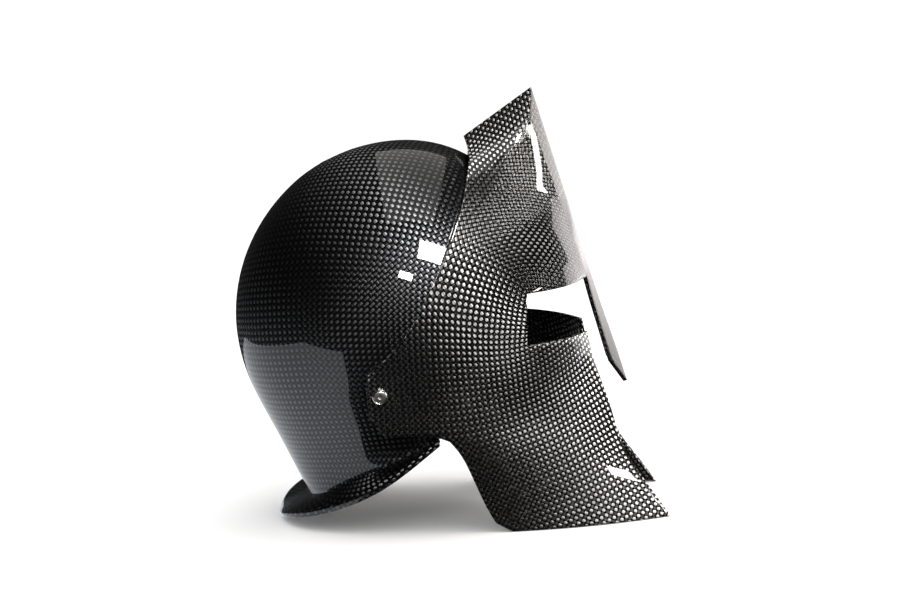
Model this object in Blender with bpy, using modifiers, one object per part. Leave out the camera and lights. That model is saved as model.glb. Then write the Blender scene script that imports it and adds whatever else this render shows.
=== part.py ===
"""Open-faced helmet: a dome shell with a neck guard, and a peaked face plate that swings on two ear screws.

Lengths are metres, +X forward, +Z up. The shells are laid out from the pivot axis, which runs
along Y: u is the distance forward of it, v the distance above it. The tables hold u and v as
shares of REACH and half widths as shares of HALF_WIDTH.
"""

import math

import bmesh
import bpy
from mathutils import Matrix, Vector

# main sizes
REACH = 0.1760
HALF_WIDTH = 0.0980
PIVOT_HEIGHT = 0.1052
SHELL_WALL = 0.0024
PLATE_WALL = 0.0026
PLATE_GAP = 0.0013
SWING_DEG = 30.0

# dome, measured in a frame tilted back by RIM_TILT so that the rim at the nape is level
RIM_TILT = math.radians(26.6)
CROWN_T = 0.0366
CROWN_H = 0.1607
BROW_H = 0.0300
REAR_LENGTH = 0.1290
REAR_POWERS = (2.09, 0.52)
FRONT_LENGTH = 0.1160
FRONT_POWERS = (2.95, 0.50)
WIDEST_H = 0.0350
SECTION_POWER = 2.15
NECK_H = -0.0515
NECK_FLARE = 0.0034
NECK_FRONT_PULL = 0.0300

# flared rim at the nape
RIM_CENTRE_T = 0.0130
RIM_REAR = 0.1326
RIM_HALF_WIDTH = 0.0890
RIM_POWER = 2.6
RIM_LIP = 0.0050
NECK_REAR = 0.1052
NECK_HALF_WIDTH = 0.0750

# pivot hardware
SCREW_RADIUS = 0.0025
SCREW_HEAD_RADIUS = 0.0043
SOCKET_ACROSS = 0.0030
SOCKET_DEPTH = 0.0016
WASHER_RADIUS = 0.0057
WASHER_RISE = 0.0019
NUT_RADIUS = 0.0050
NUT_LENGTH = 0.0042
NUT_SEAT = 0.0038
WASHER_SEAT = 0.0006
FIT = 0.0003
SHELL_BORE = 0.0041
PLATE_BORE = 0.0034

COLLECTION_NAME = "spartan_helmet"
CUTTER_NAME = "cutters"

# angle of each dome ring down from the crown, then heights of the rings below the brow
CROWN_ANGLES = (11, 22, 34, 46, 58, 69, 80)
LOWER_HEIGHTS = (0.0300, 0.0150, 0.0, -0.0170, -0.0350, -0.0440, -0.0500)
PIVOT_TURN = 74.5
REAR_COLUMNS = 7
SIDE_COLUMNS = 3
BROW_COLUMNS = 4
TEMPLE_T = 0.0985
EAR_T = 0.0196

# rim edge round from the middle of the nape to its front end:
# share of the way round, depth below the pivot line as a share of PIVOT_HEIGHT
RIM_EDGE = (
    (0.00, 0.549),
    (0.15, 0.534),
    (0.33, 0.538),
    (0.50, 0.569),
    (0.66, 0.600),
    (0.80, 0.608),
    (0.92, 0.580),
    (1.00, 0.510),
)

# face plate rows from the peak down to the foot of the cheek.
# front u, front v, front half width, back u, back v, back half width, bulge
ROWS = (
    (0.652, 1.074, 0.133, 0.652, 1.074, 0.133, 0.00),
    (0.682, 0.979, 0.133, 0.599, 0.969, 0.205, 0.05),
    (0.712, 0.889, 0.133, 0.531, 0.873, 0.350, 0.10),
    (0.740, 0.805, 0.133, 0.486, 0.807, 0.510, 0.18),
    (0.768, 0.721, 0.133, 0.429, 0.717, 0.704, 0.28),
    (0.798, 0.631, 0.133, 0.364, 0.619, 0.848, 0.42),
    (0.825, 0.549, 0.133, 0.300, 0.522, 0.942, 0.62),
    (0.852, 0.470, 0.133, 0.245, 0.427, 1.000, 0.84),
    (0.875, 0.392, 0.133, 0.238, 0.378, 1.022, 1.02),
    (0.873, 0.317, 0.180, 0.236, 0.313, 1.033, 1.08),
    (0.870, 0.245, 0.240, 0.234, 0.246, 1.037, 1.04),
    (0.866, 0.174, 0.296, 0.233, 0.176, 1.036, 1.00),
    (0.880, 0.091, 0.310, 0.233, 0.085, 1.031, 0.98),
    (0.905, 0.008, 0.327, 0.233, 0.000, 1.021, 0.96),
    (0.934, -0.074, 0.345, 0.233, -0.085, 1.007, 0.94),
    (0.958, -0.153, 0.367, 0.225, -0.176, 0.991, 0.92),
    (0.973, -0.216, 0.386, 0.274, -0.199, 0.972, 0.90),
    (0.986, -0.268, 0.406, 0.313, -0.246, 0.952, 0.88),
    (1.006, -0.324, 0.430, 0.345, -0.310, 0.932, 0.86),
    (1.040, -0.386, 0.460, 0.383, -0.410, 0.902, 0.82),
    (1.088, -0.452, 0.490, 0.420, -0.500, 0.880, 0.80),
    (1.137, -0.520, 0.525, 0.454, -0.560, 0.866, 0.80),
    (1.188, -0.598, 0.560, 0.520, -0.598, 0.857, 0.80),
)

# rear edge of the roof and ear flap, one for each row down to the foot of the flap: u, v, half width
FLAP_EDGE = (
    (0.392, 0.948, 0.115),
    (0.391, 0.901, 0.367),
    (0.382, 0.854, 0.503),
    (0.373, 0.803, 0.615),
    (0.356, 0.737, 0.726),
    (0.323, 0.658, 0.831),
    (0.272, 0.528, 0.944),
    (0.217, 0.429, 1.001),
    (0.180, 0.357, 1.024),
    (0.136, 0.281, 1.035),
    (0.089, 0.213, 1.033),
    (0.030, 0.156, 1.022),
    (-0.051, 0.085, 1.002),
    (-0.056, 0.003, 0.996),
    (-0.046, -0.084, 0.990),
    (0.004, -0.164, 0.984),
)
ROOF_PEAK = (0.664, 1.193)
ROOF_BACK = (0.374, 0.996)

# nose bar below the last brow row: ridge u, ridge v, edge u, edge v
NOSE_ROWS = (
    (0.935, 0.273, 0.900, 0.287),
    (0.964, 0.185, 0.924, 0.199),
    (0.992, 0.097, 0.948, 0.112),
    (1.014, 0.026, 0.970, 0.029),
)
NOSE_TIP = (1.043, -0.075)
RIDGE_AT_BROW = (0.905, 0.376)

SLOT_ROWS = (8, 11)
FRONT_SHARES = (0.0, 0.10, 0.20, 0.31, 0.42)
SIDE_SHARES = (0.42, 0.54, 0.66, 0.78, 0.89, 1.0)
FLAP_SHARES = (0.0, 0.22, 0.42, 0.62, 0.813, 1.0)
PIVOT_ROW = 13
PIVOT_COLUMN = 4


def clear_scene():
    for obj in list(bpy.data.objects):
        bpy.data.objects.remove(obj, do_unlink=True)


def make_collections():
    parts = bpy.data.collections.new(COLLECTION_NAME)
    cutters = bpy.data.collections.new(CUTTER_NAME)
    bpy.context.scene.collection.children.link(parts)
    bpy.context.scene.collection.children.link(cutters)
    return parts, cutters


def make_material(name, colour, roughness, metallic, coat=0.0):
    material = bpy.data.materials.new(name)
    material.use_nodes = True
    shader = material.node_tree.nodes["Principled BSDF"]
    shader.inputs["Base Color"].default_value = (*colour, 1.0)
    shader.inputs["Roughness"].default_value = roughness
    shader.inputs["Metallic"].default_value = metallic
    shader.inputs["Coat Weight"].default_value = coat
    shader.inputs["Coat Roughness"].default_value = 0.03
    return material


def mix(start, end, share):
    return start + (end - start) * share


def table_value(table, share):
    for (low, low_value), (high, high_value) in zip(table, table[1:]):
        if share <= high:
            return mix(low_value, high_value, (share - low) / (high - low))
    return table[-1][1]


# the dome in its tilted frame


def tilted(u, v):
    t = u * math.cos(RIM_TILT) + v * math.sin(RIM_TILT)
    h = v * math.cos(RIM_TILT) - u * math.sin(RIM_TILT)
    return t, h


def upright(t, h):
    u = t * math.cos(RIM_TILT) - h * math.sin(RIM_TILT)
    v = t * math.sin(RIM_TILT) + h * math.cos(RIM_TILT)
    return u, v


def ring_lengths(h):
    """Length behind and ahead of the crown line, and half width, of the dome at height h."""
    rise = min(max((h - BROW_H) / (CROWN_H - BROW_H), 0.0), 1.0)
    drop = max((BROW_H - h) / (BROW_H - NECK_H), 0.0)
    power, root = REAR_POWERS
    rear = REAR_LENGTH * (1 - rise**power) ** root + NECK_FLARE * drop**3
    power, root = FRONT_POWERS
    front = FRONT_LENGTH * (1 - rise**power) ** root - NECK_FRONT_PULL * drop**2
    width = HALF_WIDTH * max(1 - ((h - WIDEST_H) / (CROWN_H - WIDEST_H)) ** 2, 0.0) ** 0.5
    return rear, front, width


def dome_half_width(u, v):
    t, h = tilted(u, v)
    if h >= CROWN_H:
        return 0.0
    rear, front, width = ring_lengths(h)
    length = rear if t < CROWN_T else front
    reach = abs(t - CROWN_T) / max(length, 1e-6)
    if reach >= 1:
        return 0.0
    return width * (1 - reach**SECTION_POWER) ** (1 / SECTION_POWER)


def swept_half_width(u, v):
    """Widest point of the dome that this spot of the face plate passes over as it swings up."""
    widest = 0.0
    for step in range(23):
        turn = math.radians(SWING_DEG * step / 22)
        turned_u = u * math.cos(turn) - v * math.sin(turn)
        turned_v = u * math.sin(turn) + v * math.cos(turn)
        widest = max(widest, dome_half_width(turned_u, turned_v))
    return widest


def ring_point(h, turn):
    """Point on the dome at height h, turned from the middle of the nape (0) to the brow (180)."""
    rear, front, width = ring_lengths(h)
    along = math.cos(math.radians(turn))
    length = rear if along > 0 else front
    t = CROWN_T - length * math.copysign(abs(along) ** (2 / SECTION_POWER), along)
    y = width * abs(math.sin(math.radians(turn))) ** (2 / SECTION_POWER)
    u, v = upright(t, h)
    return u, v, y


def opening_turn(h):
    """Turn at which the side of the face opening meets the ring at height h."""
    h = min(h, BROW_H)
    drop = (BROW_H - h) / (BROW_H - NECK_H)
    t = mix(TEMPLE_T, EAR_T, drop)
    rear, front, width = ring_lengths(h)
    length = front if t > CROWN_T else rear
    share = (abs(t - CROWN_T) / length) ** (SECTION_POWER / 2)
    side = math.degrees(math.asin(share))
    return 90 + side if t > CROWN_T else 90 - side


def ring_turns(h, closed):
    edge = opening_turn(h)
    turns = [PIVOT_TURN * k / REAR_COLUMNS for k in range(REAR_COLUMNS)]
    turns += [mix(PIVOT_TURN, edge, k / SIDE_COLUMNS) for k in range(SIDE_COLUMNS + 1)]
    if closed:
        turns += [mix(edge, 180, k / BROW_COLUMNS) for k in range(1, BROW_COLUMNS + 1)]
    return turns


def rim_rows():
    """Rows from the foot of the neck guard out over the flared rim and down its lip."""
    forward = EAR_T - RIM_CENTRE_T
    last = 90 + math.degrees(math.asin((forward / NECK_REAR) ** (RIM_POWER / 2)))
    end = 90 + math.degrees(math.asin((forward / RIM_REAR) ** (RIM_POWER / 2)))
    count = REAR_COLUMNS + SIDE_COLUMNS
    rows = []
    for out, lip in ((0.0, 0.0), (0.09, 0.0), (0.5, 0.0), (0.93, 0.06), (1.0, 0.35), (1.0, 1.0)):
        row = []
        for k in range(count + 1):
            share = k / count
            turn = math.radians(mix(last, end, out) * share)
            length = mix(NECK_REAR, RIM_REAR, out)
            width = mix(NECK_HALF_WIDTH, RIM_HALF_WIDTH, out)
            edge_h = RIM_LIP - PIVOT_HEIGHT * table_value(RIM_EDGE, share)
            h = mix(NECK_H, edge_h, out**1.5) - RIM_LIP * lip
            along = math.cos(turn)
            back = length * math.copysign(abs(along) ** (2 / RIM_POWER), along)
            u, v = upright(RIM_CENTRE_T - back, h)
            row.append((u, v, width * math.sin(turn) ** (2 / RIM_POWER)))
        rows.append(row)
    return rows


def open_pivot(mesh, centre, radius):
    """Swaps the four faces round the pivot corner for a ring of faces round an eight-sided hole."""
    faces = list(centre.link_faces)
    ring = set()
    for face in faces:
        ring.update(vert for vert in face.verts if vert is not centre)
    ring = sorted(ring, key=lambda vert: math.atan2(vert.co.z, vert.co.x))
    outward = sum((face.normal for face in faces), Vector()).y
    bmesh.ops.delete(mesh, geom=[centre], context="VERTS")
    hole = []
    for index, vert in enumerate(ring):
        turn = math.atan2(vert.co.z, vert.co.x)
        reach = math.hypot(vert.co.x, vert.co.z)
        near = centre_height(ring, radius / reach, index)
        spot = (radius * math.cos(turn), near, radius * math.sin(turn))
        hole.append(mesh.verts.new(spot))
    for index in range(len(ring)):
        after = (index + 1) % len(ring)
        loop = [ring[index], ring[after], hole[after], hole[index]]
        face = mesh.faces.new(loop)
        face.normal_update()
        if face.normal.y * outward < 0:
            face.normal_flip()
    return hole


def centre_height(ring, share, index):
    level = sum(vert.co.y for vert in ring) / len(ring)
    return mix(level, ring[index].co.y, share)


def both_sides(points, faces):
    """One half's points (u, v, half width) and faces, mirrored and joined on the centre line."""
    mesh = bmesh.new()
    for side in (-1, 1):
        made = [mesh.verts.new((u, side * y, v)) for u, v, y in points]
        for loop in faces:
            mesh.faces.new([made[k] for k in (loop if side < 0 else reversed(loop))])
    bmesh.ops.remove_doubles(mesh, verts=mesh.verts, dist=0.0001)
    mesh.normal_update()
    return mesh


def add_object(name, mesh, material, collection):
    data = bpy.data.meshes.new(name)
    mesh.to_mesh(data)
    mesh.free()
    data.materials.append(material)
    obj = bpy.data.objects.new(name, data)
    collection.objects.link(obj)
    return obj


def apply_modifier(obj, kind, **settings):
    modifier = obj.modifiers.new(kind.title(), kind)
    for key, value in settings.items():
        setattr(modifier, key, value)
    bpy.context.view_layer.objects.active = obj
    bpy.ops.object.modifier_apply(modifier=modifier.name)


def thicken(obj, wall):
    apply_modifier(obj, "SOLIDIFY", thickness=wall, offset=-1.0, use_even_offset=True)


def crease_rims(obj, angle_deg, amount):
    """Marks the edges sharper than the angle so that smoothing keeps them."""
    mesh = bmesh.new()
    mesh.from_mesh(obj.data)
    layer = mesh.edges.layers.float.get("crease_edge") or mesh.edges.layers.float.new("crease_edge")
    for edge in mesh.edges:
        if len(edge.link_faces) == 2 and edge.calc_face_angle() > math.radians(angle_deg):
            edge[layer] = amount
    mesh.to_mesh(obj.data)
    mesh.free()


def nearest(mesh, spot):
    return min(mesh.verts, key=lambda vert: (vert.co - spot).length)


def build_skull(material, collection):
    points, faces = [], []
    crown_u, crown_v = upright(CROWN_T, CROWN_H)
    points.append((crown_u, crown_v, 0.0))
    heights = [mix(BROW_H, CROWN_H, math.cos(math.radians(a))) for a in CROWN_ANGLES]
    rows = []
    for h in heights + [BROW_H]:
        rows.append([ring_point(h, turn) for turn in ring_turns(h, True)])
    for h in LOWER_HEIGHTS[1:]:
        rows.append([ring_point(h, turn) for turn in ring_turns(h, False)])
    # the neck rows ease onto the rim's own ellipse
    rim = rim_rows()
    for depth, row in enumerate(rows[-3:]):
        share = (0.25, 0.62, 0.9)[depth]
        for k, (u, v, y) in enumerate(row):
            t, h = tilted(u, v)
            rim_t, rim_h = tilted(*rim[0][k][:2])
            u, v = upright(mix(t, rim_t, share), h)
            row[k] = (u, v, mix(y, rim[0][k][2], share))
    rows += rim
    starts = []
    for row in rows:
        starts.append(len(points))
        points += row
    first = starts[0]
    for k in range(len(rows[0]) - 1):
        faces.append((0, first + k + 1, first + k))
    for index in range(len(rows) - 1):
        upper, lower = starts[index], starts[index + 1]
        for k in range(min(len(rows[index]), len(rows[index + 1])) - 1):
            faces.append((upper + k, upper + k + 1, lower + k + 1, lower + k))
    mesh = both_sides(points, faces)
    bmesh.ops.recalc_face_normals(mesh, faces=mesh.faces)
    for side in (-1, 1):
        centre = nearest(mesh, Vector((0, side * dome_half_width(0, 0), 0)))
        open_pivot(mesh, centre, SHELL_BORE)
    obj = add_object("skull_shell", mesh, material, collection)
    thicken(obj, SHELL_WALL)
    crease_rims(obj, 50, 1.0)
    apply_modifier(obj, "SUBSURF", levels=1, render_levels=1)
    return obj


# the face plate


def row_point(row, share):
    front_u, front_v, front_y, back_u, back_v, back_y, bulge = row
    rise = share + bulge * share * (1 - share)
    u = mix(front_u, back_u, share) * REACH
    v = mix(front_v, back_v, share) * REACH
    return u, v, mix(front_y, back_y, rise) * HALF_WIDTH


def cleared(u, v, y):
    """The same point, moved out where it would come too near the dome."""
    base = swept_half_width(u, v)
    if base <= 0:
        return u, v, y
    return u, v, max(y, base + PLATE_GAP + PLATE_WALL)


def plate_points():
    points, index = [], {}

    def put(key, point):
        index[key] = len(points)
        points.append(point)

    peak = (ROOF_PEAK[0] * REACH, ROOF_PEAK[1] * REACH, 0.0)
    back = (ROOF_BACK[0] * REACH, ROOF_BACK[1] * REACH, 0.0)
    put(("ridge", 0), peak)
    count = SLOT_ROWS[0]
    for r in range(1, count + 1):
        u = mix(ROOF_PEAK[0], RIDGE_AT_BROW[0], r / count) * REACH
        v = mix(ROOF_PEAK[1], RIDGE_AT_BROW[1], r / count) * REACH
        put(("ridge", r), (u, v, 0.0))
    for r, row in enumerate(ROWS):
        for c, share in enumerate(FRONT_SHARES[:-1]):
            if r == 0 or SLOT_ROWS[0] < r < SLOT_ROWS[1]:
                continue
            put(("front", r, c), cleared(*row_point(row, share)))
        for c, share in enumerate(SIDE_SHARES):
            if r == 0:
                continue
            put(("side", r, c), cleared(*row_point(row, share)))
    put(("corner", 0), row_point(ROWS[0], 0.0))
    for c, share in enumerate(FLAP_SHARES[1:], 1):
        put(("roof", c), tuple(mix(a, b, share) for a, b in zip(peak, back)))
    for r, (u, v, y) in enumerate(FLAP_EDGE):
        start = row_point(ROWS[r], 1.0) if r else row_point(ROWS[0], 0.0)
        end = (u * REACH, v * REACH, y * HALF_WIDTH)
        for c, share in enumerate(FLAP_SHARES[1:], 1):
            spot = tuple(mix(a, b, share) for a, b in zip(start, end))
            put(("flap", r, c), cleared(*spot))
    for r, (ridge_u, ridge_v, edge_u, edge_v) in enumerate(NOSE_ROWS):
        put(("nose_ridge", r), (ridge_u * REACH, ridge_v * REACH, 0.0))
        put(("nose_edge", r), (edge_u * REACH, edge_v * REACH, ROWS[0][2] * HALF_WIDTH))
    put(("tip", 0), (NOSE_TIP[0] * REACH, NOSE_TIP[1] * REACH, 0.0))
    return points, index


def plate_faces(index):
    faces = []

    def column(r, c):
        """Vertex at column c of row r, counted from the front edge to the back of the panel."""
        if r == 0:
            return index[("corner", 0)]
        if c < len(FRONT_SHARES) - 1:
            return index[("front", r, c)]
        return index[("side", r, c - len(FRONT_SHARES) + 1)]

    def flap(r, c):
        if c == 0:
            return column(r, len(FRONT_SHARES) + len(SIDE_SHARES) - 2)
        return index[("flap", r, c)]

    total = len(FRONT_SHARES) + len(SIDE_SHARES) - 2
    slot_column = len(FRONT_SHARES) - 1
    for r in range(len(ROWS) - 1):
        for c in range(total):
            if SLOT_ROWS[0] <= r < SLOT_ROWS[1] and c < slot_column:
                continue
            loop = [column(r, c), column(r, c + 1), column(r + 1, c + 1), column(r + 1, c)]
            faces.append(list(dict.fromkeys(loop)))
    for r in range(len(FLAP_EDGE) - 1):
        for c in range(len(FLAP_SHARES) - 1):
            loop = [flap(r, c), flap(r, c + 1), flap(r + 1, c + 1), flap(r + 1, c)]
            faces.append(loop)
    roof = [index[("ridge", 0)]] + [index[("roof", c)] for c in range(1, len(FLAP_SHARES))]
    for c in range(len(FLAP_SHARES) - 1):
        faces.append([roof[c], roof[c + 1], flap(0, c + 1), flap(0, c)])
    for r in range(SLOT_ROWS[0]):
        loop = [index[("ridge", r)], column(r, 0), column(r + 1, 0), index[("ridge", r + 1)]]
        faces.append(loop)
    ridge, edge = index[("ridge", SLOT_ROWS[0])], column(SLOT_ROWS[0], 0)
    for r in range(len(NOSE_ROWS)):
        next_ridge, next_edge = index[("nose_ridge", r)], index[("nose_edge", r)]
        faces.append([ridge, edge, next_edge, next_ridge])
        ridge, edge = next_ridge, next_edge
    faces.append([ridge, edge, index[("tip", 0)]])
    return faces


def build_plate(material, collection):
    points, index = plate_points()
    mesh = both_sides(points, plate_faces(index))
    bmesh.ops.recalc_face_normals(mesh, faces=mesh.faces)
    pivot = points[index[("flap", PIVOT_ROW, PIVOT_COLUMN)]]
    for side in (-1, 1):
        centre = nearest(mesh, Vector((pivot[0], side * pivot[2], pivot[1])))
        open_pivot(mesh, centre, PLATE_BORE)
    obj = add_object("face_plate", mesh, material, collection)
    thicken(obj, PLATE_WALL)
    flatten_foot(obj)
    crease_rims(obj, 50, 1.0)
    return obj


def flatten_foot(obj):
    """Cuts the foot of each cheek level, so that the helmet stands on it."""
    foot = -PIVOT_HEIGHT
    for vert in obj.data.vertices:
        if vert.co.z < foot + 0.004 and vert.co.x > 0:
            vert.co.z = foot


# screws, washers and nuts, turned about the pivot axis


def revolve(name, profile, side, material, collection, steps=20):
    """Turns a closed outline of (radius, distance out) about the pivot axis."""
    mesh = bmesh.new()
    made = [mesh.verts.new((radius, side * out, 0.0)) for radius, out in profile]
    for a, b in zip(made, made[1:] + made[:1]):
        if profile[made.index(a)][0] > 0 or profile[made.index(b)][0] > 0:
            mesh.edges.new((a, b))
    geometry = list(mesh.verts) + list(mesh.edges)
    bmesh.ops.spin(mesh, geom=geometry, cent=(0, 0, 0), axis=(0, 1, 0), angle=math.tau,
                   steps=steps, use_merge=True)
    bmesh.ops.remove_doubles(mesh, verts=mesh.verts, dist=0.00002)
    bmesh.ops.recalc_face_normals(mesh, faces=mesh.faces)
    return add_object(name, mesh, material, collection)


def plate_face_out():
    points, index = plate_points()
    return points[index[("flap", PIVOT_ROW, PIVOT_COLUMN)]][2]


def build_pivot(label, side, steel, collection, cutters):
    face = plate_face_out() + WASHER_SEAT
    inner = dome_half_width(0, 0) - SHELL_WALL - NUT_SEAT
    top = face + WASHER_RISE
    throat = SCREW_RADIUS + FIT
    rim = SCREW_HEAD_RADIUS + FIT
    washer = [
        (throat, face),
        (WASHER_RADIUS, face),
        (WASHER_RADIUS, face + 0.0005),
        (WASHER_RADIUS - 0.0006, top - 0.0002),
        (WASHER_RADIUS - 0.0010, top),
        (rim, top),
        (rim, top - 0.0002),
        (throat, face + 0.0004),
    ]
    revolve(f"cup_washer_{label}", washer, side, steel, collection)
    nut_inner = inner - NUT_LENGTH
    screw = [
        (0.0, nut_inner - 0.0010),
        (SCREW_RADIUS, nut_inner - 0.0010),
        (SCREW_RADIUS, face + 0.0007),
        (SCREW_HEAD_RADIUS, top + 0.0001),
        (SCREW_HEAD_RADIUS - 0.0002, top + 0.0004),
        (0.0, top + 0.0006),
    ]
    obj = revolve(f"pivot_screw_{label}", screw, side, steel, collection)
    bpy.ops.mesh.primitive_cylinder_add(
        vertices=6, radius=SOCKET_ACROSS / math.sqrt(3), depth=2 * SOCKET_DEPTH,
        location=(0, side * (top + 0.0006), 0), rotation=(math.pi / 2, 0, 0))
    cutter = bpy.context.object
    cutter.name = f"socket_{label}"
    cutter.hide_render = True
    cutter.display_type = "WIRE"
    for owner in list(cutter.users_collection):
        owner.objects.unlink(cutter)
    cutters.objects.link(cutter)
    bpy.context.view_layer.objects.active = obj
    apply_modifier(obj, "BOOLEAN", operation="DIFFERENCE", solver="EXACT", object=cutter)
    nut = [
        (throat, nut_inner),
        (NUT_RADIUS, nut_inner),
        (NUT_RADIUS, inner),
        (throat, inner),
    ]
    revolve(f"pivot_nut_{label}", nut, side, steel, collection, steps=16)


def place(collection):
    """Stands the helmet on the floor with its middle over the origin; keeps the pivot as the origin."""
    low, high = 1e9, -1e9
    for obj in collection.objects:
        for vert in obj.data.vertices:
            low = min(low, vert.co.x)
            high = max(high, vert.co.x)
    shift = Vector((-(low + high) / 2, 0, PIVOT_HEIGHT))
    for obj in collection.objects:
        if obj.name != "face_plate":
            obj.data.transform(Matrix.Translation(shift))
        else:
            obj.location = shift
    print("pivot at", [round(value, 5) for value in shift])


def main():
    clear_scene()
    parts, cutters = make_collections()
    carbon = make_material("clear_coated_carbon", (0.018, 0.018, 0.020), 0.32, 0.0, 1.0)
    steel = make_material("stainless_steel", (0.62, 0.62, 0.61), 0.25, 1.0)
    build_skull(carbon, parts)
    build_plate(carbon, parts)
    build_pivot("right", -1, steel, parts, cutters)
    build_pivot("left", 1, steel, parts, cutters)
    place(parts)


main()
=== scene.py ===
import math

import bmesh
import bpy
from mathutils import Matrix, Vector


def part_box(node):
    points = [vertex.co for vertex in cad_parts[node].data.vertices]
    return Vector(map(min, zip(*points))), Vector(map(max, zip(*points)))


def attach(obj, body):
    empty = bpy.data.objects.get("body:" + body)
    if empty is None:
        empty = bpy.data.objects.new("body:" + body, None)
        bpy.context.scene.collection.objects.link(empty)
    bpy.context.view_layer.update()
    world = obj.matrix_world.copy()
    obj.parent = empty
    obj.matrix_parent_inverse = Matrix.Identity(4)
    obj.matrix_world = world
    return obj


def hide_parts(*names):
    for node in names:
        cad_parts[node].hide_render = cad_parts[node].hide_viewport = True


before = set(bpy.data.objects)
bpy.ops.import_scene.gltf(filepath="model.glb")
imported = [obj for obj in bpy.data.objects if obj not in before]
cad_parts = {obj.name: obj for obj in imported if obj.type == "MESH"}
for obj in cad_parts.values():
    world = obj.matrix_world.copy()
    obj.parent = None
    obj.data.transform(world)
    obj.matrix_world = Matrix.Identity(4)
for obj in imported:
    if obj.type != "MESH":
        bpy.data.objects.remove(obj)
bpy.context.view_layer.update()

copying = {"mergeDistance": 0.00001, "quadDegrees": 50.0}


def deselectAll():
    if bpy.context.object and bpy.context.object.mode != "OBJECT":
        bpy.ops.object.mode_set(mode="OBJECT")
    bpy.ops.object.select_all(action="DESELECT")


def pick(obj):
    deselectAll()
    obj.select_set(True)
    bpy.context.view_layer.objects.active = obj


# a mesh copy of a CAD node, its loose triangles merged and paired into quads
def copyNode(nodeName, newName):
    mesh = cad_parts[nodeName].data.copy()
    mesh.name = newName
    mesh.materials.clear()
    obj = bpy.data.objects.new(newName, mesh)
    bpy.context.scene.collection.objects.link(obj)
    pick(obj)
    quadAngle = math.radians(copying["quadDegrees"])
    bpy.ops.object.mode_set(mode="EDIT")
    bpy.ops.mesh.select_all(action="SELECT")
    bpy.ops.mesh.remove_doubles(threshold=copying["mergeDistance"])
    bpy.ops.mesh.customdata_custom_splitnormals_clear()
    bpy.ops.mesh.tris_convert_to_quads(face_threshold=quadAngle, shape_threshold=quadAngle)
    bpy.ops.object.mode_set(mode="OBJECT")
    return obj


# selects the edges whose two end points pass the test, and stays in edit mode
def selectEdges(obj, test):
    bpy.ops.object.mode_set(mode="EDIT")
    bpy.ops.mesh.select_mode(type="EDGE")
    bpy.ops.mesh.select_all(action="DESELECT")
    bpy.ops.object.mode_set(mode="OBJECT")
    points = obj.data.vertices
    for edge in obj.data.edges:
        a, b = points[edge.vertices[0]].co, points[edge.vertices[1]].co
        edge.select = bool(test(a, b))
    bpy.ops.object.mode_set(mode="EDIT")


def selectSharp(obj, degrees):
    pick(obj)
    bpy.ops.object.mode_set(mode="EDIT")
    bpy.ops.mesh.select_mode(type="EDGE")
    bpy.ops.mesh.select_all(action="DESELECT")
    bpy.ops.mesh.edges_select_sharp(sharpness=math.radians(degrees))


# true where a point, seen from the side, lies within reach of a line of x, z points
def nearLine(point, line, reach):
    spot = Vector((point.x, point.z))
    for a, b in zip(line, line[1:]):
        a, b = Vector(a), Vector(b)
        share = max(0.0, min(1.0, (spot - a).dot(b - a) / (b - a).length_squared))
        if (spot - a.lerp(b, share)).length < reach:
            return True
    return False


# x of a side line at a height, or None past its ends
def lineAt(line, z):
    for (x0, z0), (x1, z1) in zip(line, line[1:]):
        if z1 <= z <= z0:
            return x0 + (x1 - x0) * (z0 - z) / (z0 - z1)
    return None


def creaseLine(obj, line, reach, leastRise):
    pick(obj)
    selectEdges(obj, lambda a, b: nearLine(a, line, reach) and nearLine(b, line, reach)
                and abs(a.z - b.z) > leastRise)
    bpy.ops.transform.edge_crease(value=1.0)
    bpy.ops.object.mode_set(mode="OBJECT")


def creaseSharp(obj, degrees, amount):
    selectSharp(obj, degrees)
    bpy.ops.transform.edge_crease(value=amount)
    bpy.ops.object.mode_set(mode="OBJECT")


def addModifier(obj, kind, **settings):
    pick(obj)
    modifier = obj.modifiers.new(kind, kind)
    for key, value in settings.items():
        setattr(modifier, key, value)
    bpy.ops.object.modifier_apply(modifier=modifier.name)


def smoothByAngle(obj, degrees):
    pick(obj)
    bpy.ops.object.shade_smooth_by_angle(angle=math.radians(degrees))


def giveMaterials(obj, *materials):
    obj.data.materials.clear()
    for material in materials:
        obj.data.materials.append(material)


# The weave's coordinates: each shell half is laid out flat in metres, as cloth lies on a mould.
weaveLay = {
    "middleReach": 0.0002,  # how near y = 0 an edge is a seam
    "margin": 0.01,
    "sidePower": 6,  # faces that look sideways steer the fit
    "leastShare": 1e-6,
    "leastSpread": 1e-12,  # keeps the fit of a thin rim island finite
}


def markSeams(obj, rimDegrees):
    selectSharp(obj, rimDegrees)
    bpy.ops.mesh.mark_seam(clear=False)
    reach = weaveLay["middleReach"]
    selectEdges(obj, lambda a, b: abs(a.y) < reach and abs(b.y) < reach)
    bpy.ops.mesh.mark_seam(clear=False)
    bpy.ops.mesh.select_mode(type="FACE")
    bpy.ops.mesh.select_all(action="SELECT")
    bpy.ops.uv.unwrap(method="MINIMUM_STRETCH", margin=weaveLay["margin"])
    bpy.ops.object.mode_set(mode="OBJECT")


# the groups of faces that no seam divides
def islands(bm):
    done, found = set(), []
    for start in bm.faces:
        if start.index in done:
            continue
        group, queue = [], [start]
        done.add(start.index)
        while queue:
            face = queue.pop()
            group.append(face)
            for edge in face.edges:
                if edge.seam:
                    continue
                for other in edge.link_faces:
                    if other.index not in done:
                        done.add(other.index)
                        queue.append(other)
        found.append(group)
    return found


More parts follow.
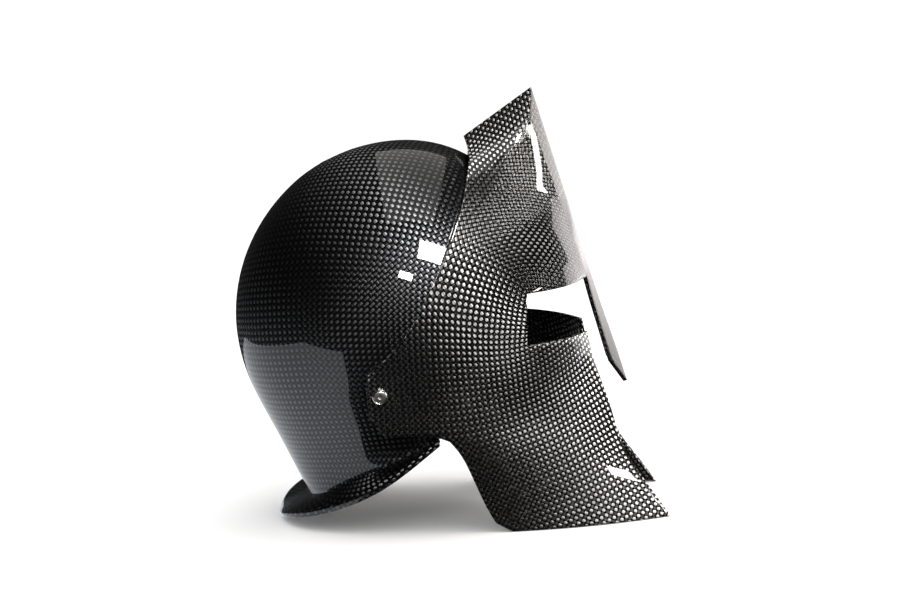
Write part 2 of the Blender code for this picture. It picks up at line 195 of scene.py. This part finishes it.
# the turn, size and shift that lay the flat points on the targets best, mirrored if that is better
def fitFlat(points, targets, weights):
    best, least = None, math.inf
    for mirrored in (False, True):
        moved = [p.conjugate() if mirrored else p for p in points]
        total = sum(weights)
        midP = sum(w * p for w, p in zip(weights, moved)) / total
        midQ = sum(w * q for w, q in zip(weights, targets)) / total
        rows = [(w, p - midP, q - midQ) for w, p, q in zip(weights, moved, targets)]
        above = sum(w * q * p.conjugate() for w, p, q in rows)
        below = sum(w * abs(p) ** 2 for w, p, q in rows)
        turn = above / max(below, weaveLay["leastSpread"])
        miss = sum(w * abs(turn * p - q) ** 2 for w, p, q in rows)
        if miss < least:
            best, least = (mirrored, turn, midP, midQ), miss
    return best


def layWeave(obj, rimDegrees):
    markSeams(obj, rimDegrees)
    bm = bmesh.new()
    bm.from_mesh(obj.data)
    layer = bm.loops.layers.uv.active
    for group in islands(bm):
        points, targets, weights = [], [], []
        for face in group:
            sideways = abs(face.normal.y) ** weaveLay["sidePower"]
            weight = face.calc_area() * (sideways + weaveLay["leastShare"])
            for loop in face.loops:
                points.append(complex(*loop[layer].uv))
                targets.append(complex(loop.vert.co.x, loop.vert.co.z))
                weights.append(weight)
        mirrored, turn, midP, midQ = fitFlat(points, targets, weights)
        for face in group:
            for loop in face.loops:
                p = complex(*loop[layer].uv)
                p = p.conjugate() if mirrored else p
                q = turn * (p - midP) + midQ
                loop[layer].uv = (q.real, q.imag)
    bm.to_mesh(obj.data)
    bm.free()


class Nodes:  # adds and links the nodes of one material
    def __init__(self, material):
        self.tree = material.node_tree
        self.shader = self.tree.nodes["Principled BSDF"]

    def join(self, value, socket):
        if isinstance(value, bpy.types.NodeSocket):
            self.tree.links.new(value, socket)
        else:
            socket.default_value = value

    def add(self, kind, inputs=None, **settings):
        node = self.tree.nodes.new(kind)
        for key, value in settings.items():
            setattr(node, key, value)
        for key, value in (inputs or {}).items():
            self.join(value, node.inputs[key])
        return node

    def math(self, operation, a, b=0.0, c=0.0, clamp=False):
        node = self.add("ShaderNodeMath", {0: a, 1: b, 2: c}, operation=operation, use_clamp=clamp)
        return node.outputs[0]

    def vector(self, operation, inputs):
        return self.add("ShaderNodeVectorMath", inputs, operation=operation).outputs[0]

    def blend(self, share, a, b):
        node = self.add("ShaderNodeMix", {0: share, "A": a, "B": b}, data_type="FLOAT")
        return node.outputs[0]

    def colours(self, share, a, b):
        node = self.add("ShaderNodeMix", {0: share, 6: a, 7: b}, data_type="RGBA")
        return node.outputs[2]

    def feed(self, socket, value):
        self.join(value, self.shader.inputs[socket])


def newMaterial(name):
    material = bpy.data.materials.new(name)
    material.use_nodes = True
    return material, Nodes(material)


# Plain weave of carbon tows under a clear coat. Lengths are in metres on the flat lay.
wovenCarbon = {
    "towWidth": 0.0027,
    "turnDegrees": 45.0,
    # painted highlight and shade: the warp tows are a lit copy and the weft tows a shaded copy of
    # one carbon colour
    "warpPaintedGlint": (0.130, 0.130, 0.133, 1.0),
    "weftPaintedShade": (0.018, 0.018, 0.019, 1.0),
    "gapColour": (0.002, 0.002, 0.002, 1.0),
    "dullColour": (0.012, 0.012, 0.013, 1.0),
    "gapBelow": 0.55,  # how low the tows lie where a gap shows
    "acrossPower": 0.45,
    "alongPower": 0.55,
    "fibresPerTow": 7.0,
    "fibreRelief": 0.035,
    "fibreRoughness": 0.42,
    "anisotropy": 0.90,
    "towHeight": 0.00022,
    "waver": 0.0006,
    "waverScale": 22.0,
    "grainScale": 0.9,
    "grainShare": 0.7,
    "grainStart": -0.05,
    "coatRoughness": 0.02,
    "coatIor": 1.5,
}


def makeWovenCarbon(name, changes):
    material, n = newMaterial(name)
    look = {**wovenCarbon, **changes}
    # the lay, wavering a little, turned and cut into cells of one tow's width
    spot = n.add("ShaderNodeUVMap", uv_map="UVMap").outputs[0]
    drift = n.add("ShaderNodeTexNoise",
                  {"Vector": spot, "Scale": look["waverScale"], "Detail": 1.0},
                  noise_dimensions="2D")
    shift = n.vector("SUBTRACT", {0: drift.outputs["Color"], 1: (0.5, 0.5, 0.5)})
    shift = n.vector("SCALE", {0: shift, "Scale": look["waver"]})
    spot = n.vector("ADD", {0: spot, 1: shift})
    angle = math.radians(look["turnDegrees"])
    cells = 1.0 / look["towWidth"]
    laid = n.add("ShaderNodeMapping", {"Vector": spot, "Rotation": (0.0, 0.0, angle),
                                       "Scale": (cells, cells, 1.0)}).outputs[0]
    split = n.add("ShaderNodeSeparateXYZ", {0: laid})
    x, y = split.outputs[0], split.outputs[1]
    # over and under: every second cell shows the other set of tows
    parity = n.math("PINGPONG", n.math("ADD", n.math("FLOOR", x), n.math("FLOOR", y)), 1.0)
    humpX = n.math("SINE", n.math("MULTIPLY", n.math("FRACT", x), math.pi))
    humpY = n.math("SINE", n.math("MULTIPLY", n.math("FRACT", y), math.pi))
    across = n.math("POWER", n.blend(parity, humpX, humpY), look["acrossPower"])
    along = n.math("POWER", n.blend(parity, humpY, humpX), look["alongPower"])
    body = n.math("MULTIPLY", across, along)
    fibreAt = n.blend(parity, x, y)
    fibre = n.math("SINE", n.math("MULTIPLY", fibreAt, math.tau * look["fibresPerTow"]))
    height = n.math("ADD", body, n.math("MULTIPLY", fibre, look["fibreRelief"]))
    grain = n.add("ShaderNodeTexNoise",
                  {"Vector": laid, "Scale": look["grainScale"], "Detail": 2.0})
    dull = n.math("MULTIPLY_ADD", grain.outputs[0], look["grainShare"], look["grainStart"],
                  clamp=True)
    # painted highlight and shade: every second cell takes the lit warp colour or the shaded weft
    # colour, standing in for the glint that one set of tows catches
    tone = n.colours(parity, look["warpPaintedGlint"], look["weftPaintedShade"])
    tone = n.colours(dull, tone, look["dullColour"])
    tone = n.colours(n.math("LESS_THAN", body, look["gapBelow"]), tone, look["gapColour"])
    n.feed("Base Color", tone)
    n.feed("Metallic", 1.0)
    n.feed("Roughness", look["fibreRoughness"])
    n.feed("Anisotropic", look["anisotropy"])
    tangent = n.add("ShaderNodeTangent", direction_type="UV_MAP", uv_map="UVMap")
    n.feed("Tangent", tangent.outputs[0])
    quarterTurn, warpTurn = 0.25, 1.0 - angle / math.tau  # the weft lies a quarter turn on
    n.feed("Anisotropic Rotation", n.math("MULTIPLY_ADD", parity, quarterTurn, warpTurn))
    bump = n.add("ShaderNodeBump",
                 {"Height": height, "Distance": look["towHeight"], "Strength": 1.0})
    n.feed("Normal", bump.outputs[0])
    n.feed("Coat Weight", 1.0)
    n.feed("Coat Roughness", look["coatRoughness"])
    n.feed("Coat IOR", look["coatIor"])
    return material


steelLook = {
    "colour": (0.66, 0.65, 0.63, 1.0),
    "grainScale": 1500.0,
    "grainDepth": 0.00002,
    "grainStrength": 0.4,
    "roughnessSpread": (0.8, 1.3),
}


def makeSteel(name, roughness):
    look = steelLook
    material, n = newMaterial(name)
    where = n.add("ShaderNodeTexCoord").outputs["Object"]
    grain = n.add("ShaderNodeTexNoise",
                  {"Vector": where, "Scale": look["grainScale"], "Detail": 2.0})
    low, high = (roughness * share for share in look["roughnessSpread"])
    n.feed("Base Color", look["colour"])
    n.feed("Metallic", 1.0)
    n.feed("Roughness", n.blend(grain.outputs[0], low, high))
    bump = n.add("ShaderNodeBump", {"Height": grain.outputs[0], "Distance": look["grainDepth"],
                                    "Strength": look["grainStrength"]})
    n.feed("Normal", bump.outputs[0])
    return material


skullLook = {
    "rimDegrees": 55.0,
    "rimCrease": 0.7,
    "levels": 1,
    "smoothDegrees": 40.0,
    "weave": {"towWidth": 0.0028},
}


def makeSkull():
    look = skullLook
    obj = copyNode("skull_shell", "dome_and_neck_guard")
    creaseSharp(obj, look["rimDegrees"], look["rimCrease"])
    layWeave(obj, look["rimDegrees"])
    addModifier(obj, "SUBSURF", levels=look["levels"], render_levels=look["levels"])
    smoothByAngle(obj, look["smoothDegrees"])
    giveMaterials(obj, makeWovenCarbon("dome_weave", look["weave"]))
    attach(obj, "skull")
    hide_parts("skull_shell")
    print("skull shell:", len(obj.data.polygons), "faces")


plateLook = {
    "creaseDegrees": 24.0,
    "rimDegrees": 62.0,
    "levels": 2,
    "edgeBevel": 0.00035,
    "bevelDegrees": 17.0,
    "bevelSegments": 2,
    "smoothDegrees": 28.0,
    # x and z from the side, from the peak down: where roof and panel meet, and the strip's edge
    "roofLine": ((0.0648, 0.2942), (0.0554, 0.2757), (0.0435, 0.2588), (0.0355, 0.2472),
                 (0.0255, 0.2314), (0.0141, 0.2141), (0.0028, 0.1971), (-0.0069, 0.1803)),
    "stripLine": ((0.0648, 0.2942), (0.0701, 0.2775), (0.0753, 0.2617), (0.0803, 0.2469),
                  (0.0852, 0.2321), (0.0905, 0.2163), (0.0952, 0.2018), (0.1000, 0.1879),
                  (0.1040, 0.1742)),
    "roofReach": 0.0035,
    "stripReach": 0.0022,
    "leastRise": 0.002,
    "stripFacing": 0.70,  # least forward part of a strip face's normal
    "stripHalfWidth": 0.017,
    # painted highlight: the plate's tows are a much lighter copy of the dome's, for the brighter
    # glints they catch
    "weave": {"warpPaintedGlint": (0.42, 0.41, 0.40, 1.0), "weftPaintedShade": (0.11, 0.107, 0.104, 1.0),
              "fibreRoughness": 0.52, "anisotropy": 1.0},
    # painted reflection: the strip's pale grey tows and gaps stand in for the bright room that its
    # clear coat mirrors
    "stripPaintedReflection": {"warpPaintedGlint": (0.16, 0.155, 0.15, 1.0), "weftPaintedShade": (0.12, 0.117, 0.115, 1.0),
                   "gapColour": (0.09, 0.088, 0.086, 1.0), "towHeight": 0.00002},
}


def makePlate():
    look = plateLook
    obj = copyNode("face_plate", "peaked_face_plate")
    creaseSharp(obj, look["creaseDegrees"], 1.0)
    creaseLine(obj, look["roofLine"], look["roofReach"], look["leastRise"])
    creaseLine(obj, look["stripLine"], look["stripReach"], look["leastRise"])
    layWeave(obj, look["rimDegrees"])
    addModifier(obj, "SUBSURF", levels=look["levels"], render_levels=look["levels"])
    addModifier(obj, "BEVEL", width=look["edgeBevel"], segments=look["bevelSegments"],
                limit_method="ANGLE", angle_limit=math.radians(look["bevelDegrees"]))
    smoothByAngle(obj, look["smoothDegrees"])
    giveMaterials(obj, makeWovenCarbon("plate_weave", look["weave"]),
                  makeWovenCarbon("strip_painted_reflection", look["stripPaintedReflection"]))
    # the strip's faces get the painted reflection material
    for face in obj.data.polygons:  # the flat strip, from the peak down to the nose bar's tip
        edge = lineAt(look["stripLine"], face.center.z)
        ahead = face.normal.x > look["stripFacing"]
        central = abs(face.center.y) < look["stripHalfWidth"]
        if ahead and central and (edge is None or face.center.x > edge):
            face.material_index = 1
    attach(obj, "visor")
    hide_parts("face_plate")
    print("face plate:", len(obj.data.polygons), "faces")


# Outlines: radius in mm, the plane it starts from, and mm beyond that plane, outwards.
pivotLook = {
    "steps": 72,
    "washer": ((3.1, "face", 0.0), (5.7, "face", 0.0), (5.7, "face", 0.40), (5.62, "face", 0.75),
               (5.42, "top", -0.55), (5.15, "top", -0.18), (4.92, "top", 0.0), (4.74, "top", -0.06),
               (4.62, "top", -0.25), (4.50, "top", -0.60), (3.1, "face", 0.45)),
    "screw": ((0.0, "end", 0.0), (2.3, "end", 0.0), (2.5, "end", 0.2), (2.5, "face", 0.55),
              (4.15, "top", -0.95), (4.22, "top", -0.80), (4.15, "top", -0.66),
              (3.95, "top", -0.58), (2.3, "top", -0.55), (0.0, "top", -0.55)),
    "socketAcross": 3.0,
    "socketDepth": 1.5,
    "headBelow": 0.55,
    "mergeDistance": 0.000004,
    "smallestEdge": 0.000002,
    "smoothDegrees": 35.0,
    "washerRoughness": 0.10,
    "screwRoughness": 0.22,
}


# spins a closed outline about the pivot
def turnProfile(name, profile, planes, side, middle):
    look = pivotLook
    deselectAll()
    bpy.ops.mesh.primitive_circle_add(vertices=len(profile), radius=0.01)
    obj = bpy.context.object
    obj.name = obj.data.name = name
    for vert, (radius, plane, beyond) in zip(obj.data.vertices, profile):
        vert.co = (middle.x + radius / 1000, side * (planes[plane] + beyond / 1000), middle.z)
    bpy.ops.object.mode_set(mode="EDIT")
    bpy.ops.mesh.select_all(action="SELECT")
    bpy.ops.mesh.spin(steps=look["steps"], angle=math.tau, center=(middle.x, 0.0, middle.z),
                      axis=(0.0, 1.0, 0.0))
    bpy.ops.mesh.select_all(action="SELECT")
    bpy.ops.mesh.remove_doubles(threshold=look["mergeDistance"])
    bpy.ops.mesh.dissolve_degenerate(threshold=look["smallestEdge"])
    bpy.ops.mesh.select_all(action="SELECT")
    bpy.ops.mesh.normals_make_consistent(inside=False)
    bpy.ops.object.mode_set(mode="OBJECT")
    return obj


def cutSocket(obj, planes, side, middle):
    look = pivotLook
    headAt = side * (planes["top"] - look["headBelow"] / 1000)
    deselectAll()
    bpy.ops.mesh.primitive_cylinder_add(
        vertices=6, radius=look["socketAcross"] / 1000 / math.sqrt(3),
        depth=2 * look["socketDepth"] / 1000, location=(middle.x, headAt, middle.z),
        rotation=(math.pi / 2, 0.0, 0.0))
    cutter = bpy.context.object
    addModifier(obj, "BOOLEAN", operation="DIFFERENCE", solver="EXACT", object=cutter)
    bpy.data.objects.remove(cutter)


def makePivots():
    look = pivotLook
    bright = makeSteel("polished_steel", look["washerRoughness"])
    plain = makeSteel("plain_steel", look["screwRoughness"])
    for label, side in (("right", -1), ("left", 1)):
        low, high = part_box(f"cup_washer_{label}")
        middle = (low + high) / 2
        nearest, furthest = sorted((abs(low.y), abs(high.y)))
        screwLow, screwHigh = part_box(f"pivot_screw_{label}")
        inner = min(abs(screwLow.y), abs(screwHigh.y))
        planes = {"face": nearest, "top": furthest, "end": inner}
        washer = turnProfile(f"finishing_washer_{label}", look["washer"], planes, side, middle)
        screw = turnProfile(f"socket_screw_{label}", look["screw"], planes, side, middle)
        cutSocket(screw, planes, side, middle)
        for piece, node, metal in ((washer, "cup_washer", bright), (screw, "pivot_screw", plain)):
            giveMaterials(piece, metal)
            smoothByAngle(piece, look["smoothDegrees"])
            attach(piece, "skull")
            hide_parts(f"{node}_{label}")
        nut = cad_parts[f"pivot_nut_{label}"]
        giveMaterials(nut, plain)
    print("pivots done")


cameraLook = {
    "lens": 88.0,
    "sensorWidth": 36.0,
    "elevation": 9.0,
    "distance": 1.65,
    "target": (0.0019, 0.0, 0.158),
    "roll": -1.9,
}


def makeCamera():
    look = cameraLook
    data = bpy.data.cameras.new("camera")
    obj = bpy.data.objects.new("camera", data)
    bpy.context.scene.collection.objects.link(obj)
    bpy.context.scene.camera = obj
    data.sensor_width = look["sensorWidth"]
    data.lens = look["lens"]
    tilt, roll = math.radians(look["elevation"]), math.radians(look["roll"])
    ahead = Vector((0.0, math.cos(tilt), -math.sin(tilt)))
    right = Vector((1.0, 0.0, 0.0))
    up = right.cross(ahead)
    rolledRight = right * math.cos(roll) + up * math.sin(roll)
    rolledUp = up * math.cos(roll) - right * math.sin(roll)
    matrix = Matrix((rolledRight, rolledUp, -ahead)).transposed().to_4x4()
    matrix.translation = Vector(look["target"]) - ahead * look["distance"]
    obj.matrix_world = matrix


floorLook = {"size": 30.0, "below": 0.0005, "colour": (1.0, 1.0, 1.0, 1.0), "roughness": 0.9}


def makeFloor():
    look = floorLook
    deselectAll()
    bpy.ops.mesh.primitive_plane_add(size=look["size"], location=(0.0, 0.0, -look["below"]))
    floor = bpy.context.object
    floor.name = "floor"
    material, n = newMaterial("pale_floor")
    n.feed("Base Color", look["colour"])
    n.feed("Roughness", look["roughness"])
    n.feed("Specular IOR Level", 0.0)
    giveMaterials(floor, material)
    floor.visible_glossy = False


# Pale cloths on the table, seen only by the gloss, each by the x and y of its corners.
clothLook = {
    "height": 0.0002,
    "colour": (0.90, 0.95, 1.0, 1.0),
    "strength": 1.0,
    "corners": {
        "left_cloth": ((-0.08, -0.10), (-0.30, -0.50), (-0.62, -0.42), (-0.62, 0.40),
                       (-0.08, 0.40)),
        "back_cloth": ((0.15, 0.25), (0.50, 1.6), (1.4, 1.6), (1.4, 0.25)),
    },
}


def makeCloths():
    look = clothLook
    material = bpy.data.materials.new("pale_cloth")
    material.use_nodes = True
    tree = material.node_tree
    tree.nodes.remove(tree.nodes["Principled BSDF"])
    glow = tree.nodes.new("ShaderNodeEmission")
    glow.inputs["Color"].default_value = look["colour"]
    glow.inputs["Strength"].default_value = look["strength"]
    tree.links.new(glow.outputs[0], tree.nodes["Material Output"].inputs["Surface"])
    for name, corners in look["corners"].items():
        deselectAll()
        bpy.ops.mesh.primitive_circle_add(vertices=len(corners), fill_type="NGON", radius=1.0)
        cloth = bpy.context.object
        cloth.name = name
        for vert, (x, y) in zip(cloth.data.vertices, corners):
            vert.co = (x, y, look["height"])
        giveMaterials(cloth, material)
        cloth.visible_camera = False
        cloth.visible_diffuse = False
        cloth.visible_shadow = False


# A black card, seen by no camera, that keeps the side window's light off the brow.
cardLook = {"centre": (0.150, -0.072, 0.228), "size": (0.155, 0.062)}


def makeBlackCard():
    centre, (width, height) = cardLook["centre"], cardLook["size"]
    deselectAll()
    bpy.ops.mesh.primitive_plane_add(size=1.0)
    card = bpy.context.object
    card.name = "black_card"
    for vert in card.data.vertices:
        vert.co = (centre[0], centre[1] + vert.co.x * width, centre[2] + vert.co.y * height)
    material, n = newMaterial("black_card")
    n.feed("Base Color", (0.0, 0.0, 0.0, 1.0))
    n.feed("Specular IOR Level", 0.0)
    giveMaterials(card, material)
    card.visible_camera = False
    card.visible_diffuse = False


# White behind the helmet and as fill on the floor, dark where the gloss looks round the room.
worldLook = {"colour": (1.0, 1.0, 1.0, 1.0), "white": 1.06, "dark": 0.02}


def makeWorld():
    look = worldLook
    world = bpy.data.worlds.new("studio")
    bpy.context.scene.world = world
    world.use_nodes = True
    world.cycles.sampling_method = "NONE"
    tree = world.node_tree
    background = tree.nodes["Background"]
    background.inputs["Color"].default_value = look["colour"]
    path = tree.nodes.new("ShaderNodeLightPath")
    seen = tree.nodes.new("ShaderNodeMath")
    seen.operation = "MAXIMUM"
    tree.links.new(path.outputs["Is Camera Ray"], seen.inputs[0])
    tree.links.new(path.outputs["Is Diffuse Ray"], seen.inputs[1])
    strength = tree.nodes.new("ShaderNodeMapRange")
    strength.inputs["To Min"].default_value = look["dark"]
    strength.inputs["To Max"].default_value = look["white"]
    tree.links.new(seen.outputs[0], strength.inputs["Value"])
    tree.links.new(strength.outputs[0], background.inputs["Strength"])


# Windows and cards. Those far off have an azimuth from the camera's side towards the face and an
# elevation, and look at farAim. The others have a centre and an aim. Angles are in degrees, and
# "only" names the pieces that a window lights, where it lights less than all.
farAim = (0.0, -0.07, 0.18)
domeAndScrews = ("dome_and_neck_guard", "finishing_washer_right", "socket_screw_right",
                 "finishing_washer_left", "socket_screw_left")
plateAlone = ("peaked_face_plate",)
panels = {
    "window_high": {"azimuth": 20.0, "elevation": 30.5, "distance": 1.9, "size": (0.62, 0.36),
                    "roll": 20.0, "radiance": 110.0, "colour": (1.0, 1.0, 1.0),
                    "only": domeAndScrews},
    "window_low": {"azimuth": 0.0, "elevation": 18.6, "distance": 1.9, "size": (0.25, 0.12),
                   "roll": 20.0, "radiance": 110.0, "colour": (1.0, 1.0, 0.96),
                   "only": domeAndScrews},
    "plate_window": {"azimuth": 20.0, "elevation": 50.0, "distance": 1.9, "size": (0.40, 0.40),
                     "roll": 0.0, "radiance": 125.0, "colour": (1.0, 1.0, 1.0),
                     "only": plateAlone},
    "rear_window": {"azimuth": -15.0, "elevation": 33.5, "distance": 1.9, "size": (0.45, 0.45),
                    "roll": 0.0, "radiance": 65.0, "colour": (1.0, 1.0, 1.0), "only": plateAlone},
    "ceiling": {"centre": (0.15, 0.1, 2.1), "aim": (0.15, 0.1, 0.0), "size": (1.25, 3.4),
                "roll": 0.0, "radiance": 0.9, "colour": (1.0, 0.98, 0.96)},
    "strip_card": {"centre": (0.87, 0.85, 0.36), "aim": (0.09, 0.0, 0.23), "size": (1.15, 0.75),
                   "roll": 0.0, "radiance": 2.2, "colour": (1.0, 0.95, 0.94)},
    "side_window": {"centre": (0.485, -0.121, 0.394), "aim": (0.07, -0.018, 0.26),
                    "size": (0.42, 0.035), "roll": -8.0, "radiance": 26.0,
                    "colour": (1.0, 0.97, 0.90)},
    "cheek_window": {"centre": (0.485, -0.21, 0.228), "aim": (0.12, -0.055, 0.035),
                     "size": (0.035, 0.085), "roll": 30.0, "radiance": 30.0,
                     "colour": (1.0, 0.96, 0.92)},
}


# where a panel stands and what point it faces
def placePanel(look):
    if "centre" in look:
        return Vector(look["centre"]), Vector(look["aim"])
    turn, rise = math.radians(look["azimuth"]), math.radians(look["elevation"])
    towards = Vector((math.sin(turn) * math.cos(rise), -math.cos(turn) * math.cos(rise),
                      math.sin(rise)))
    return Vector(farAim) + look["distance"] * towards, Vector(farAim)


def makePanel(name, look):
    data = bpy.data.lights.new(name, "AREA")
    data.shape = "RECTANGLE"
    data.size, data.size_y = look["size"]
    data.energy = look["radiance"] * math.pi * look["size"][0] * look["size"][1]
    data.color = look["colour"]
    obj = bpy.data.objects.new(name, data)
    bpy.context.scene.collection.objects.link(obj)
    place, aim = placePanel(look)
    away = (place - aim).normalized()
    level = Vector((0.0, 0.0, 1.0)).cross(away)
    straightUp = level.length < 0.01
    level = Vector((1.0, 0.0, 0.0)) if straightUp else level.normalized()
    upward = away.cross(level)
    roll = math.radians(look["roll"])
    across = level * math.cos(roll) - upward * math.sin(roll)
    along = upward * math.cos(roll) + level * math.sin(roll)
    matrix = Matrix((across, along, away)).transposed().to_4x4()
    matrix.translation = place
    obj.matrix_world = matrix
    obj.visible_camera = False
    if "only" in look:
        lit = bpy.data.collections.new(f"{name}_lights")
        for piece in look["only"]:
            lit.objects.link(bpy.data.objects[piece])
        obj.light_linking.receiver_collection = lit


def makeLights():
    for name, look in panels.items():
        makePanel(name, look)


makeCamera()
makeFloor()
makeCloths()
makeBlackCard()
makeWorld()
print("stage is set")
makeSkull()
makePlate()
makePivots()
makeLights()
print("lights are set")
bpy.context.scene.view_settings.view_transform = "Standard"
